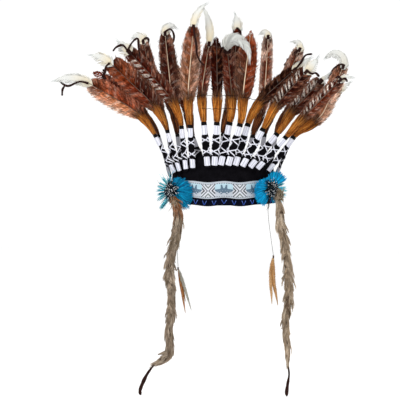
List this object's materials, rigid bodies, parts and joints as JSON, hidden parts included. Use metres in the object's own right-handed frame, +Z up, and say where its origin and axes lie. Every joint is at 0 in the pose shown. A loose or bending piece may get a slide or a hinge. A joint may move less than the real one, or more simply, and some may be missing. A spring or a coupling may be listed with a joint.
{
  "type": "feathered headdress",
  "caption": "Felt crown with feathers standing round it in wrapped sleeves, a woven brow band, temple rosettes, hanging fur tails and small feather drops.",
  "frame": {"origin": "middle of the head opening, level with the rim at the forehead", "axes": "+Z up along the feathers; -Y to the front, the way the wearer looks; +X on the right of someone who faces the wearer"},
  "size_m": [0.4883, 0.3143, 0.6441],
  "materials": {
    "felt": "black wool felt",
    "hem_cloth": "navy cloth binding with blue stitching",
    "woven_band": "woven jacquard ribbon in cream and slate blue",
    "sleeve_cloth": "black felt wound with white tape and laced with white yarn",
    "feather": "turkey feather with ginger hackles and a pale plume",
    "turquoise_feather": "dyed turquoise feather strips",
    "spotted_feather": "spotted guinea fowl feathers",
    "fur": "grey-brown fur",
    "leather": "dark brown leather",
    "thread": "pale twisted thread",
    "hackle": "tan hackle feathers"
  },
  "bodies": {
    "root": {"felt_crown": "felt", "hem_band": "hem_cloth", "brow_band": "woven_band", "sleeve_front_1": "sleeve_cloth", "sleeve_front_2": "sleeve_cloth", "sleeve_front_3": "sleeve_cloth", "sleeve_front_4": "sleeve_cloth", "sleeve_front_5": "sleeve_cloth", "sleeve_front_6": "sleeve_cloth", "sleeve_front_7": "sleeve_cloth", "sleeve_front_8": "sleeve_cloth", "sleeve_front_9": "sleeve_cloth", "sleeve_front_10": "sleeve_cloth", "sleeve_front_11": "sleeve_cloth", "sleeve_front_12": "sleeve_cloth", "sleeve_front_13": "sleeve_cloth", "sleeve_back_1": "sleeve_cloth", "sleeve_back_2": "sleeve_cloth", "sleeve_back_3": "sleeve_cloth", "sleeve_back_4": "sleeve_cloth", "sleeve_back_5": "sleeve_cloth", "sleeve_back_6": "sleeve_cloth", "sleeve_back_7": "sleeve_cloth", "sleeve_back_8": "sleeve_cloth", "sleeve_back_9": "sleeve_cloth", "feather_front_1": "feather", "feather_front_2": "feather", "feather_front_3": "feather", "feather_front_4": "feather", "feather_front_5": "feather", "feather_front_6": "feather", "feather_front_7": "feather", "feather_front_8": "feather", "feather_front_9": "feather", "feather_front_10": "feather", "feather_front_11": "feather", "feather_front_12": "feather", "feather_front_13": "feather", "feather_back_1": "feather", "feather_back_2": "feather", "feather_back_3": "feather", "feather_back_4": "feather", "feather_back_5": "feather", "feather_back_6": "feather", "feather_back_7": "feather", "feather_back_8": "feather", "feather_back_9": "feather", "rosette_left": "turquoise_feather", "rosette_tuft_left": "spotted_feather", "fur_tail_left": "fur", "tail_thong_left": "leather", "drop_thread_left": "thread", "feather_drop_left": "hackle", "rosette_right": "turquoise_feather", "rosette_tuft_right": "spotted_feather", "fur_tail_right": "fur", "tail_thong_right": "leather", "drop_thread_right": "thread", "feather_drop_right": "hackle"}
  },
  "joints": []
}
